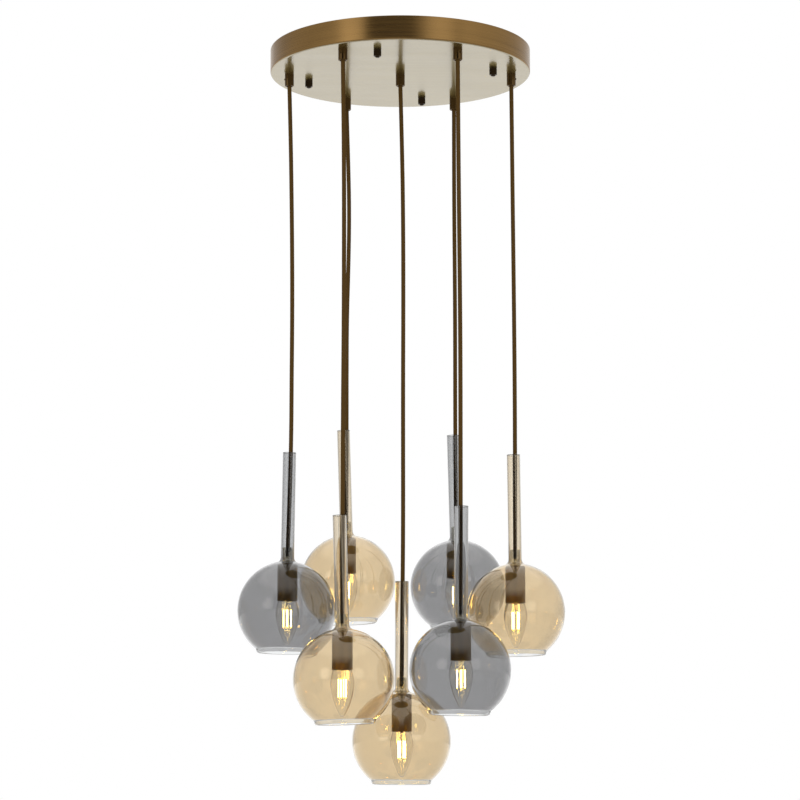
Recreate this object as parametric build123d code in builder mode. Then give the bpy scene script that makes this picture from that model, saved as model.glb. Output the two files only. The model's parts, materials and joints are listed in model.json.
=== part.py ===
from build123d import *
import os
from math import asin, atan2, cos, degrees, radians, sin, sqrt, tan

# Cluster pendant: seven blown-glass globes with long necks, hung at stepped heights from one
# round ceiling plate. Millimetres, +Z up. The origin is the centre of the bracket's face on the
# ceiling, and everything hangs below it.

# Ceiling plate, a pressed pan that is open towards the ceiling
canopy_dia = 400
canopy_depth = 37
canopy_sheet = 1.2
canopy_edge_radius = 3
ceiling_gap = 0.5

# Bracket on the ceiling: a round hub with four arms, pressed as one shallow tray
hub_dia = 160
arm_width = 26
arm_angle = -13.5
bracket_depth = 8
bracket_sheet = 1.5
bracket_edge_radius = 2
screw_span_x = 116
screw_span_y = 60
screw_slot_width = 5.5
screw_slot_length = 14
mains_hole_dia = 16
mains_hole_y = -45

# Four studs and cap nuts that hold the plate up against the ceiling
nut_circle_dia = 292
stud_dia = 5
stud_reach = 9
stud_head = 0.2
stud_hex = 8
stud_hex_height = 4
cap_nut_dia = 11.5
cap_nut_height = 10
cap_nut_edge = 0.8
cap_nut_tip_dia = 7
cap_nut_dome = 2
cap_nut_dome_round = 1.8

# Seven cord grips, one in the centre and six on a ring
ring_radius = 171
grip_dia = 14
grip_length = 18
grip_edge = 0.8
grip_pivot_depth = 14
grip_bore_room = 0.45
grip_mouth_flare = 1.3
grip_mouth_depth = 3.6
stem_dia = 10
stem_height = 13
stem_edge = 0.6
locknut_hex = 14
locknut_height = 3.5
grub_dia = 3
grub_proud = 0.8
grub_depth = 7
grub_key = 1.5
grub_key_depth = 1.2

# Cords, the short ends of them that the grips hold, and the two cores in each
cord_dia = 6.5
cord_end_gap = 0.4
core_dia = 2.2
core_spread = 1.5
core_bow = 4
core_straight = 27
core_step = 4.5
tail_top = -23.4
arc_share = 0.45

# Terminal block under the hub, with one pole for each core
terminal_y = 45
terminal_depth = 20
terminal_height = 16
terminal_pitch = 8
terminal_poles = 10
terminal_end = 4
terminal_screw_dia = 3.8
terminal_screw_depth = 3
core_level = -11
earth_x = 24
earth_y = -52
earth_washer_dia = 9
earth_washer_thickness = 1
earth_head_dia = 7.2
earth_head_height = 2.6
earth_head_edge = 0.7
earth_slot = 0.9
earth_slot_depth = 1.2

# Lamp holder, with heights measured up from the globe's centre
cup_dia = 30
cup_wall = 1
cup_roof = 1.2
cup_shoulder = 2
cup_top = 69.5
cup_bottom = 14
clamp_dia = 14.7
clamp_top = 94
clamp_edge = 1
cord_seat = 80
nipple_dia = 9.6
nipple_length = 8
wire_hole_dia = 3
thread_end_room = 1
socket_dia = 27
socket_bottom = 21
socket_skirt_top = 26
socket_bore_top = 47
socket_bore_dia = 14.2
contact_boss_dia = 5
skirt_room = 1
fit_gap = 0.05

# Candle bulb, 35 mm across with a 14 mm screw cap, hanging tip down. The outline gives shares of
# the bulb's radius and of its length below the joint, and the slope that it starts with.
bulb_dia = 35
bulb_length = 73
bulb_skin = 0.8
bulb_joint = 20
candle_start = (0.5, -1)
candle_outline = ((0.60, 0), (0.78, 0.085), (1, 0.36), (0.71, 0.71), (0.27, 0.945), (0, 1))
cap_dia = 13.8
cap_skirt_dia = 14.8
cap_skirt_height = 4.5
cap_shell_top = 21
cap_cone_top = 23.7
cap_top = 25.5
contact_dia = 4.4
insulator_lip = 1
filament_dia = 1.8
filament_circle = 10
filament_top = 19
filament_bottom = 47
stem_foot_dia = 8.4
stem_glass_dia = 3.2
stem_waist = 8
spider_height = 0.8
spider_arm = 2.4

# Glass shade
globe_dia = 147
globe_wall = 1.9
neck_dia = 20
neck_wall = 1.4
neck_blend = 8
neck_mouth = 238.5
mouth_round = 0.5
rim_drop = 58
lip_height = 6
lip_draw = 2.2
lip_wall = 2.2
rim_round = 0.8
lip_corner_round = 0.5
rock_height = 82

# Each pendant: azimuth of its grip, distance of the grip from the centre, drop from the plate to
# the globe's centre, and the lean in degrees at which its loose glass rests on the holder
pendants = {
    "left": (180, ring_radius, 825, -0.9),
    "right": (0, ring_radius, 829, 0.5),
    "front_left": (240, ring_radius, 936, 1.6),
    "front_right": (300, ring_radius, 923, -0.8),
    "back_left": (120, ring_radius, 771, 1.7),
    "back_right": (60, ring_radius, 779, 1.4),
    "centre": (0, 0, 1020, -0.3),
}

# Each pendant's two poles on the terminal block, and the block's side: -1 front, 1 back
terminals = {
    "left": (0, 1, -1),
    "front_left": (2, 3, -1),
    "centre": (4, 5, -1),
    "front_right": (7, 6, -1),
    "right": (9, 8, -1),
    "back_left": (0, 1, 1),
    "back_right": (9, 8, 1),
}

plate_bottom = -canopy_depth
grip_pivot = plate_bottom - grip_pivot_depth
nut_radius = nut_circle_dia / 2
cord_radius = cord_dia / 2
cap_nut_radius = cap_nut_dia / 2
terminal_length = terminal_pitch * terminal_poles + terminal_end
pole_x = [(i - (terminal_poles - 1) / 2) * terminal_pitch for i in range(terminal_poles)]

os.makedirs("parts", exist_ok=True)


def save(part, name):
    """Label a finished piece and write it to its own file."""
    part.label = name
    export_step(part, f"parts/{name}.step")


def place(name):
    """Plan position of a pendant's grip and the height of its globe's centre."""
    azimuth, radius, drop, _ = pendants[name]
    return radius * cos(radians(azimuth)), radius * sin(radians(azimuth)), plate_bottom - drop


def axial_plane(x, y, z, lean=0):
    """Plane through a turned piece's own axis: local X is its radius, local Y runs up the axis."""
    tilt = radians(lean)
    return Plane(origin=(x, y, z), x_dir=(cos(tilt), 0, sin(tilt)), z_dir=(0, -1, 0))


def axis_of(plane):
    """The axis that a turned piece is revolved around."""
    return Axis(plane.origin, plane.y_dir)


def turned(profile, places):
    """Turn one closed profile of (radius, height) points around an upright axis at each place."""
    with BuildPart() as piece:
        for x, y, z in places:
            plane = axial_plane(x, y, z)
            with BuildSketch(plane):
                with BuildLine():
                    Polyline(*profile, close=True)
                make_face()
            revolve(axis=axis_of(plane))
    return piece.part


def arc_radii(points):
    """Radius at each corner of a tube's route: as large as its two runs allow."""
    radii = []
    for before, corner, after in zip(points, points[1:], points[2:]):
        run_in = corner - before
        run_out = after - corner
        shorter = min(run_in.length, run_out.length)
        radii.append(arc_share * shorter / tan(radians(run_in.get_angle(run_out)) / 2))
    return radii


grip_points = [place(name)[:2] for name in pendants]
nut_points = [
    (nut_radius * cos(radians(arm_angle + turn)), nut_radius * sin(radians(arm_angle + turn)))
    for turn in (0, 90, 180, 270)
]

# ---- ceiling plate and what fastens it ---------------------------------------------------------

with BuildPart() as canopy_cover:
    with BuildSketch(Plane.XY.offset(plate_bottom)):
        Circle(canopy_dia / 2)
    extrude(amount=canopy_depth - ceiling_gap)
    fillet(canopy_cover.edges().group_by(Axis.Z)[0], radius=canopy_edge_radius)
    offset(amount=-canopy_sheet, openings=canopy_cover.faces().sort_by(Axis.Z)[-1])
    with BuildSketch(Plane.XY.offset(plate_bottom)):
        with Locations(*grip_points):
            Circle(stem_dia / 2 + fit_gap)
        with Locations(*nut_points):
            Circle(stud_dia / 2 + fit_gap)
    extrude(amount=canopy_sheet, mode=Mode.SUBTRACT)
save(canopy_cover.part, "canopy_cover")

with BuildPart() as ceiling_bracket:
    with BuildSketch():
        Circle(hub_dia / 2)
        with PolarLocations(0, 2, start_angle=arm_angle, angular_range=180):
            SlotOverall(nut_circle_dia + arm_width, arm_width)
    extrude(amount=-bracket_depth)
    fillet(ceiling_bracket.edges().group_by(Axis.Z)[-1], radius=bracket_edge_radius)
    offset(amount=-bracket_sheet, openings=ceiling_bracket.faces().sort_by(Axis.Z)[0])
    with BuildSketch():
        with GridLocations(screw_span_x, screw_span_y, 2, 2):
            SlotOverall(screw_slot_length, screw_slot_width)
        with Locations(*nut_points):
            Circle(stud_dia / 2)
        with Locations((0, mains_hole_y)):
            Circle(mains_hole_dia / 2)
    extrude(amount=-bracket_sheet, mode=Mode.SUBTRACT)
save(ceiling_bracket.part, "ceiling_bracket")

with BuildPart() as bracket_studs:
    with BuildSketch(Plane.XY.offset(-stud_head)):
        with Locations(*nut_points):
            Circle(stud_dia / 2)
    extrude(amount=plate_bottom - stud_reach + stud_head)
    with BuildSketch(Plane.XY.offset(-bracket_sheet)):
        with Locations(*nut_points):
            RegularPolygon(stud_hex / 2, 6, major_radius=False)
    extrude(amount=-stud_hex_height)
save(bracket_studs.part, "bracket_studs")

with BuildPart() as cap_nuts:
    with BuildSketch(Plane.XY.offset(plate_bottom)):
        with Locations(*nut_points):
            Circle(cap_nut_radius)
    extrude(amount=-cap_nut_height)
    chamfer(cap_nuts.edges().group_by(Axis.Z)[0], length=cap_nut_edge)
    with BuildSketch(Plane.XY.offset(plate_bottom - cap_nut_height)):
        with Locations(*nut_points):
            Circle(cap_nut_tip_dia / 2)
    extrude(amount=-cap_nut_dome)
    fillet(cap_nuts.edges().group_by(Axis.Z)[0], radius=cap_nut_dome_round)
    with BuildSketch(Plane.XY.offset(plate_bottom)):
        with Locations(*nut_points):
            Circle(stud_dia / 2)
    extrude(amount=-stud_reach, mode=Mode.SUBTRACT)
save(cap_nuts.part, "cap_nuts")

# ---- cord grips --------------------------------------------------------------------------------

grip_radius = grip_dia / 2
grip_bore = cord_radius + grip_bore_room
grip_profile = (
    (grip_bore, stem_height),
    (stem_dia / 2 - stem_edge, stem_height),
    (stem_dia / 2, stem_height - stem_edge),
    (stem_dia / 2, 0),
    (grip_radius, 0),
    (grip_radius, grip_edge - grip_length),
    (grip_radius - grip_edge, -grip_length),
    (grip_bore + grip_mouth_flare, -grip_length),
    (grip_bore, grip_mouth_depth - grip_length),
)


def grub_plane(name, reach):
    """Plane square to a grip's side screw, at a distance from the grip's axis, facing outwards."""
    x, y, _ = place(name)
    azimuth, radius, _, _ = pendants[name]
    heading = radians(azimuth if radius else -90)
    outward = Vector(cos(heading), sin(heading), 0)
    return Plane(origin=Vector(x, y, plate_bottom - grub_depth) + outward * reach, z_dir=outward)


with BuildPart() as cord_grips:
    add(turned(grip_profile, [(x, y, plate_bottom) for x, y in grip_points]))
    for name in pendants:
        with BuildSketch(grub_plane(name, 0)):
            Circle(grub_dia / 2)
        extrude(amount=grip_radius, mode=Mode.SUBTRACT)
save(cord_grips.part, "cord_grips")

with BuildPart() as grip_screws:
    for name in pendants:
        with BuildSketch(grub_plane(name, cord_radius)):
            Circle(grub_dia / 2)
        extrude(amount=grip_radius + grub_proud - cord_radius)
        with BuildSketch(grub_plane(name, grip_radius + grub_proud)):
            RegularPolygon(grub_key / 2, 6, major_radius=False)
        extrude(amount=-grub_key_depth, mode=Mode.SUBTRACT)
save(grip_screws.part, "grip_screws")

with BuildPart() as grip_locknuts:
    with BuildSketch(Plane.XY.offset(plate_bottom + canopy_sheet)):
        with Locations(*grip_points):
            RegularPolygon(locknut_hex / 2, 6, major_radius=False)
            Circle(stem_dia / 2, mode=Mode.SUBTRACT)
    extrude(amount=locknut_height)
save(grip_locknuts.part, "grip_locknuts")

# ---- wiring inside the plate -------------------------------------------------------------------

tail_bottom = grip_pivot + cord_radius + cord_end_gap

with BuildPart() as cord_tails:
    with BuildSketch(Plane.XY.offset(tail_bottom)):
        with Locations(*grip_points):
            Circle(cord_radius)
    extrude(amount=tail_top - tail_bottom)
save(cord_tails.part, "cord_tails")

with BuildPart() as terminal_block:
    with BuildSketch(Plane.XY.offset(-bracket_sheet)):
        with Locations((0, terminal_y)):
            RectangleRounded(terminal_length, terminal_depth, terminal_end / 2)
    extrude(amount=-terminal_height)
    with BuildSketch(Plane.XZ.offset(-terminal_y - terminal_depth / 2)):
        with Locations(*[(x, core_level) for x in pole_x]):
            Circle(core_dia / 2)
    extrude(amount=terminal_depth, mode=Mode.SUBTRACT)
    with BuildSketch(Plane.XY.offset(-bracket_sheet - terminal_height)):
        for row in (-1, 1):
            with Locations(*[(x, terminal_y + row * terminal_depth / 4) for x in pole_x]):
                Circle(terminal_screw_dia / 2)
    extrude(amount=terminal_screw_depth, mode=Mode.SUBTRACT)
save(terminal_block.part, "terminal_block")

washer_face = -bracket_sheet - earth_washer_thickness
earth_face = washer_face - earth_head_height
earth_profile = (
    (0, -bracket_sheet),
    (earth_washer_dia / 2, -bracket_sheet),
    (earth_washer_dia / 2, washer_face),
    (earth_head_dia / 2, washer_face),
    (earth_head_dia / 2, earth_face + earth_head_edge),
    (earth_head_dia / 2 - earth_head_edge, earth_face),
    (0, earth_face),
)

with BuildPart() as earth_screw:
    add(turned(earth_profile, [(earth_x, earth_y, 0)]))
    with BuildSketch(Plane.XY.offset(earth_face)):
        with Locations((earth_x, earth_y)):
            Rectangle(earth_head_dia, earth_slot)
    extrude(amount=earth_slot_depth, mode=Mode.SUBTRACT)
save(earth_screw.part, "earth_screw")


def core_routes(name):
    """Routes of a cord's two cores: up out of the tail, across in a slow bow, into their poles."""
    x, y, _ = place(name)
    *poles, side = terminals[name]
    face_y = terminal_y + side * terminal_depth / 2
    foot = Vector(x, y, core_level)
    turns = [
        Vector(pole_x[pole], face_y + side * (core_straight + rank * core_step), core_level)
        for rank, pole in enumerate(poles)
    ]
    heading = ((turns[0] + turns[1]) * 0.5 - foot).normalized()
    across = Vector(-heading.Y, heading.X, 0)
    hand = 1 if (turns[0] - turns[1]).dot(across) > 0 else -1
    routes = []
    for pole, turn, way in zip(poles, turns, (hand, -hand)):
        top = foot + across * way * core_spread
        crossing = [top + (turn - top) * share + across * core_bow for share in (1 / 3, 2 / 3)]
        bends = [*crossing, turn] if (turn - top).length > 2 * core_straight else []
        tail = Vector(top.X, top.Y, tail_top)
        routes.append([tail, top, *bends, Vector(pole_x[pole], face_y, core_level)])
    return routes


with BuildPart() as core_wires:
    for name in pendants:
        for route in core_routes(name):
            radii = arc_radii(route)
            with BuildLine() as core_path:
                FilletPolyline(*route, radius=radii)
            with BuildSketch(Plane(origin=route[0], z_dir=(0, 0, 1))):
                Circle(core_dia / 2)
            sweep(path=core_path.wires()[0])
            length = core_path.wires()[0].length
            print(f"core of {name}: {length:.1f} mm, radii", [round(r, 1) for r in radii])
save(core_wires.part, "core_wires")

# ---- one pendant: cord, lamp holder, bulb and glass --------------------------------------------

clamp_radius = clamp_dia / 2
nipple_foot = cup_top - nipple_length
clamp_profile = (
    (cord_radius + 2 * fit_gap, clamp_top),
    (clamp_radius - clamp_edge, clamp_top),
    (clamp_radius, clamp_top - clamp_edge),
    (clamp_radius, cup_top),
    (nipple_dia / 2, cup_top),
    (nipple_dia / 2, nipple_foot),
    (wire_hole_dia / 2, nipple_foot),
    (wire_hole_dia / 2, cord_seat),
    (cord_radius + 2 * fit_gap, cord_seat),
)

socket_radius = socket_dia / 2
socket_top = cup_top - cup_roof
contact_level = bulb_joint + cap_top + cord_end_gap
bulb_neck = bulb_dia / 2 * candle_outline[0][0]
skirt_bore = bulb_neck + skirt_room
socket_profile = (
    (skirt_bore, socket_bottom),
    (socket_radius, socket_bottom),
    (socket_radius, socket_top - cup_shoulder),
    (socket_radius - cup_shoulder, socket_top),
    (nipple_dia / 2 + fit_gap, socket_top),
    (nipple_dia / 2 + fit_gap, nipple_foot - thread_end_room),
    (0, nipple_foot - thread_end_room),
    (0, contact_level),
    (contact_boss_dia / 2, contact_level),
    (contact_boss_dia / 2, socket_bore_top),
    (socket_bore_dia / 2, socket_bore_top),
    (socket_bore_dia / 2, socket_skirt_top),
    (skirt_bore, socket_skirt_top),
)

cap_radius = cap_dia / 2
bulb_base_profile = (
    (0, -filament_top),
    (stem_glass_dia / 2, -filament_top),
    (stem_glass_dia / 2, -stem_waist),
    (stem_foot_dia / 2, 0),
    (bulb_neck, 0),
    (cap_skirt_dia / 2, cap_skirt_height),
    (cap_radius, cap_skirt_height),
    (cap_radius, cap_shell_top),
    (contact_dia / 2 + insulator_lip, cap_cone_top),
    (contact_dia / 2, cap_cone_top),
    (contact_dia / 2, cap_top),
    (0, cap_top),
)


def make_cord(name):
    """Cord that carries the pendant: straight, with a round end that turns inside the grip."""
    x, y, z = place(name)
    with BuildPart() as cord:
        with BuildSketch(Plane.XY.offset(z + cord_seat)):
            with Locations((x, y)):
                Circle(cord_radius)
        extrude(amount=grip_pivot + cord_radius - z - cord_seat)
        fillet(cord.edges().sort_by(Axis.Z)[-1], radius=cord_radius - fit_gap)
    print(f"cord of {name}: {grip_pivot - z - cord_seat:.0f} mm long, straight")
    return cord.part


def make_holder_cup(name):
    """Round cup over the lamp socket: closed on top, with the rounded shoulder that carries the glass."""
    plane = axial_plane(*place(name))
    roof = cup_top - cup_roof
    with BuildPart() as cup:
        with BuildSketch(plane) as profile:
            with BuildLine():
                Polyline(
                    (nipple_dia / 2 + fit_gap, cup_top),
                    (cup_dia / 2, cup_top),
                    (cup_dia / 2, cup_bottom),
                    (cup_dia / 2 - cup_wall, cup_bottom),
                    (cup_dia / 2 - cup_wall, roof),
                    (nipple_dia / 2 + fit_gap, roof),
                    close=True,
                )
            make_face()
            shoulder = profile.vertices().sort_by_distance((cup_dia / 2, cup_top))[0]
            fillet(shoulder, radius=cup_shoulder)
        revolve(axis=axis_of(plane))
    return cup.part


def candle_side(skin):
    """One face of the bulb's glass, from its open neck down to the tip."""
    outline = [(bulb_dia / 2 * wide, -bulb_length * down) for wide, down in candle_outline]
    body = [(radius - skin, height) for radius, height in outline[:-2]]
    nose = [(outline[-2][0] - skin / 2, outline[-2][1] + skin / 2), (0, skin - bulb_length)]
    Spline(*body, *nose, tangents=(candle_start, (-1, 0)))


def make_bulb_glass(name):
    """Clear candle-shaped envelope, open at the neck where the cap closes it."""
    x, y, z = place(name)
    plane = axial_plane(x, y, z + bulb_joint)
    with BuildPart() as glass:
        with BuildSketch(plane):
            with BuildLine():
                candle_side(0)
                candle_side(bulb_skin)
                Line((bulb_neck - bulb_skin, 0), (bulb_neck, 0))
                Line((0, bulb_skin - bulb_length), (0, -bulb_length))
            make_face()
        revolve(axis=axis_of(plane))
    return glass.part


def make_bulb_base(name):
    """Screw cap with the glass stem, the four-armed spider and the filament sticks it carries."""
    x, y, z = place(name)
    joint = z + bulb_joint
    with BuildPart() as base:
        add(turned(bulb_base_profile, [(x, y, joint)]))
        with BuildSketch(Plane.XY.offset(joint - filament_top)):
            with Locations((x, y)):
                SlotCenterToCenter(filament_circle, spider_arm, rotation=45)
                SlotCenterToCenter(filament_circle, spider_arm, rotation=135)
        extrude(amount=-spider_height)
        with BuildSketch(Plane.XY.offset(joint - filament_top - spider_height)):
            with Locations((x, y)):
                with PolarLocations(filament_circle / 2, 4, start_angle=45):
                    Circle(filament_dia / 2)
        extrude(amount=filament_top + spider_height - filament_bottom)
    return base.part


def glass_side(radius, neck, blend):
    """One face of the shade's glass: the straight neck, the blend below it, and the globe."""
    reach = neck + blend
    rise = sqrt((radius + blend) ** 2 - reach**2)
    turn = degrees(atan2(rise, reach))
    rim_turn = degrees(asin(rim_drop / radius))
    Line((neck, neck_mouth), (neck, rise))
    CenterArc((reach, rise), blend, 180, turn)
    CenterArc((0, 0), radius, -rim_turn, rim_turn + turn)


def make_shade(name):
    """Blown globe, drawn out above into a long straight neck and ending below in a steep lip."""
    x, y, z = place(name)
    lean = pendants[name][3]
    tilt = radians(lean)
    plane = axial_plane(
        x + rock_height * sin(tilt), y, z + rock_height * (1 - cos(tilt)), lean
    )
    outer, inner = globe_dia / 2, globe_dia / 2 - globe_wall
    neck_outer, neck_inner = neck_dia / 2, neck_dia / 2 - neck_wall
    with BuildPart() as shade:
        with BuildSketch(plane) as profile:
            with BuildLine():
                glass_side(outer, neck_outer, neck_blend)
                glass_side(inner, neck_inner, neck_blend + neck_wall)
                Line((neck_outer, neck_mouth), (neck_inner, neck_mouth))
                corner = (sqrt(outer**2 - rim_drop**2), -rim_drop)
                edge = (corner[0] - lip_draw, -rim_drop - lip_height)
                Polyline(
                    corner,
                    edge,
                    (edge[0] - lip_wall, edge[1]),
                    (sqrt(inner**2 - rim_drop**2), -rim_drop),
                )
            make_face()
            fillet(profile.vertices().sort_by(Axis.Y)[3], radius=lip_corner_round)
            fillet(profile.vertices().sort_by(Axis.Y)[:2], radius=rim_round)
            fillet(profile.vertices().sort_by(Axis.Y)[-2:], radius=mouth_round)
        revolve(axis=axis_of(plane))
    return shade.part


for name in pendants:
    centre = [place(name)]
    save(make_cord(name), f"cord_{name}")
    save(turned(clamp_profile, centre), f"cord_clamp_{name}")
    save(make_holder_cup(name), f"holder_cup_{name}")
    save(turned(socket_profile, centre), f"lamp_socket_{name}")
    save(make_bulb_glass(name), f"bulb_glass_{name}")
    save(make_bulb_base(name), f"bulb_base_{name}")
    save(make_shade(name), f"shade_{name}")
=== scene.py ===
import json
from math import radians

import bpy
import numpy as np
from bpy.props import FloatProperty, FloatVectorProperty, IntProperty, PointerProperty
from bpy.types import Operator, Panel, PropertyGroup
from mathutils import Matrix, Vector


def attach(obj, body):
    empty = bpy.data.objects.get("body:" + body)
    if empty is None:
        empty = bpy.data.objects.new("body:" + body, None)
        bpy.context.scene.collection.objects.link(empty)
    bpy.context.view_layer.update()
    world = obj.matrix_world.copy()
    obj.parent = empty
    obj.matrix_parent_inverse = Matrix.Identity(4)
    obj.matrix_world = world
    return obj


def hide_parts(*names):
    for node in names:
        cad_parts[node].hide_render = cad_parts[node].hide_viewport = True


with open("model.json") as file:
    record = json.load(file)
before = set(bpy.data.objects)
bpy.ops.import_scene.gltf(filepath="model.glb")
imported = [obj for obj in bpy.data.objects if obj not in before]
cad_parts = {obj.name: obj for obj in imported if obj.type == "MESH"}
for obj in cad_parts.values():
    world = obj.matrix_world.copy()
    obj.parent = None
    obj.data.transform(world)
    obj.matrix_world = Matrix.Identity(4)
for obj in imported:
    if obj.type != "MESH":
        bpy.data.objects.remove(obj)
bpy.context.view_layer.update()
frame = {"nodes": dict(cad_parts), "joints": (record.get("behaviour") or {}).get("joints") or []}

bl_info = {
    "name": "Cluster Pendant",
    "version": (1, 0, 0),
    "blender": (4, 5, 0),
    "location": "View3D > Sidebar > Cluster Pendant",
    "description": "Glass, metal, cords and bulbs of a cluster pendant, over its packed frame",
    "category": "Object",
}

MM = 0.001
TAU = 2 * np.pi

JOINTS = {joint["name"]: joint for joint in frame["joints"]}

# Millimetres above a globe's centre: the foot of its bulb's cap, the seat of its cord, and the
# point about which its loose glass leans
BULB_FOOT, CORD_SEAT, LEAN_POINT = 20, 80, 82

# Each pendant: the tint of its glass, the lean in degrees at which the loose glass rests, and the
# angle in degrees to which its bulb is screwed in
PENDANTS = {
    "left": ("smoke", -0.9, 0),
    "right": ("amber", 0.5, 30),
    "front_left": ("amber", 1.6, 20),
    "front_right": ("smoke", -0.8, 5),
    "back_left": ("amber", 1.7, 50),
    "back_right": ("smoke", 1.4, 70),
    "centre": ("amber", -0.3, 25),
}

# How far each cord strays sideways from its plumb line, in millimetres, at nine even heights from
# the grip down to the collar: textile cords keep a little of the curl of their reel. Where the neck
# of a leaning glass passes, also when it is lifted, the cord stays clear of its bore
CORD_STRAY = {
    "left": (0, 2.6, 4.2, 5.4, 5.8, 5.2, 5.0, 3.0, 0),
    "right": (0, 0.4, 0.7, 1.1, 1.4, 1.5, 1.2, 0.7, 0),
    "front_left": (0, 1.4, 2.0, 2.0, 1.6, 0.8, 0.4, 0.2, 0),
    "front_right": (0, 0.2, 0.6, 1.2, 1.6, 1.4, 0.9, 0.5, 0),
    "back_left": (0, 2.6, 4.4, 3.2, 0.7, 0.3, 0.4, 0.2, 0),
    "back_right": (0, -0.3, -0.4, -0.1, 0.1, -0.2, -0.5, -0.3, 0),
    "centre": (0, 2.9, 4.0, 3.9, 3.2, 3.0, 2.8, 1.4, 0),
}


def grip_pivot(name):
    """Point inside a pendant's grip where its cord swings, from the frame."""
    return np.array(JOINTS[f"swing_{name}"]["pos_m"])


def globe_centre(name):
    """Centre of a pendant's globe, from the frame."""
    return np.array(JOINTS[f"bulb_turn_{name}"]["pos_m"])


def above_centre(name, height):
    """Point a number of millimetres above the centre of a pendant's globe."""
    return globe_centre(name) + (0, 0, height * MM)


def read(items, name, width, kind=np.float32):
    """One attribute of all items of a Blender collection: an array with a row for each item."""
    values = np.zeros(len(items) * width, kind)
    items.foreach_get(name, values)
    return values.reshape(-1, width)


def placed(name, data):
    """New object of some data, put in the scene."""
    made = bpy.data.objects.new(name, data)
    bpy.context.scene.collection.objects.link(made)
    return made


# ---- surfaces ----------------------------------------------------------------------------------


def unit(vectors):
    """Vectors divided by their lengths."""
    return vectors / np.maximum(np.linalg.norm(vectors, axis=-1, keepdims=True), 1e-12)


def spun(x, y, angle):
    """Coordinates turned by an angle: (x·cos - y·sin, x·sin + y·cos)."""
    return x * np.cos(angle) - y * np.sin(angle), x * np.sin(angle) + y * np.cos(angle)


def round_angles(count):
    """Even angles round a circle, from 0."""
    return np.arange(count) * TAU / count


def rounded(corners, radii, closed=True, steps=5):
    """Outline in millimetres, given back in metres, whose corners are circular arcs.

    The arc of a corner starts at the corner minus the run in times r·tan(turn/2), and turns about
    the point that lies r to the side, by the corner's turn. One guard point stands 0.4 r before
    and after it, which keeps the shading of the flat runs flat.
    """
    corner = np.array(corners, float)
    radius = np.array(np.broadcast_to(radii, len(corner)), float)
    if not closed:
        radius[[0, -1]] = 0
    run_in = unit(corner - np.roll(corner, 1, 0))
    run_out = unit(np.roll(corner, -1, 0) - corner)
    cross = run_in[:, 0] * run_out[:, 1] - run_in[:, 1] * run_out[:, 0]
    turn = np.arctan2(cross, (run_in * run_out).sum(1))
    reach = (radius * np.tan(np.abs(turn) / 2))[:, None]
    start = corner - run_in * reach
    side = np.sign(cross)[:, None] * np.stack([-run_in[:, 1], run_in[:, 0]], 1)
    middle = start + side * radius[:, None]
    angle = turn[:, None] * np.linspace(0, 1, steps)
    arm = (start - middle)[:, None, :]
    arc = middle[:, None, :] + np.stack(spun(arm[..., 0], arm[..., 1], angle), -1)
    guard = 0.4 * radius[:, None]
    before = (start - run_in * guard)[:, None, :]
    after = (corner + run_out * (reach + guard))[:, None, :]
    points = np.concatenate([before, arc, after], 1).reshape(-1, 2)
    apart = np.linalg.norm(points - np.roll(points, 1, 0), axis=1) > 1e-6
    if not closed:
        apart[0] = True
    return points[apart] * MM


def hermite(points, start, end, steps):
    """Smooth line through points, given back in metres: a cubic Hermite span between each two.

    The slope at a point is half the step from the point before to the point after, and the two
    ends have slopes of their own.
    """
    knot = np.array(points, float)
    slope = np.concatenate([[start], (knot[2:] - knot[:-2]) / 2, [end]])
    t = np.linspace(0, 1, steps, endpoint=False)[:, None]
    a = 2 * t**3 - 3 * t**2 + 1
    b = t**3 - 2 * t**2 + t
    c = 3 * t**2 - 2 * t**3
    d = t**3 - t**2
    spans = [
        a * knot[i] + b * slope[i] + c * knot[i + 1] + d * slope[i + 1]
        for i in range(len(knot) - 1)
    ]
    return np.concatenate([*spans, knot[-1:]]) * MM


def arc_line(middle, radius, begin, finish, steps):
    """Arc in millimetres, given back in metres: middle + radius·(cos, sin) of even degrees."""
    angle = np.radians(np.linspace(begin, finish, steps))
    return (np.array(middle) + radius * np.stack([np.cos(angle), np.sin(angle)], 1)) * MM


def stepped(outline, radius, first, last, steps):
    """Outline in metres with even steps up or down its straight side, between two heights."""
    height, way = outline[:, 1] / MM, np.sign(last - first)
    before, after = outline[(height - first) * way < 0], outline[(height - last) * way > 0]
    side = np.linspace((radius, first), (radius, last), steps) * MM
    return np.concatenate([before, side, after])


def between(height, low, high, run):
    """1 between two heights in millimetres, and falling to 0 over a run inside each of them."""
    return np.clip(np.minimum(height / MM - low, high - height / MM) / run, 0, 1)


def turned(profile, place, segments, swell=None):
    """Grid of points of a turned piece: x = r·cos θ, y = r·sin θ, z = h, moved to its place.

    The radius r may swell with (θ, height) by a function of both, added to the profile's.
    """
    theta = round_angles(segments)
    radius = np.repeat(profile[:, :1], segments, 1)
    height = np.repeat(profile[:, 1:], segments, 1)
    if swell is not None:
        radius = radius + swell(theta[None, :], height)
    grid = np.stack([radius * np.cos(theta), radius * np.sin(theta), height], -1)
    return grid + np.array(place)


def leaned(grid, pivot, degrees):
    """Grid turned about the Y direction through a point, so that its top leans towards -X."""
    arm = grid - pivot
    x, z = spun(arm[..., 0], arm[..., 2], radians(degrees))
    return np.stack([x, arm[..., 1], z], -1) + pivot


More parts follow.
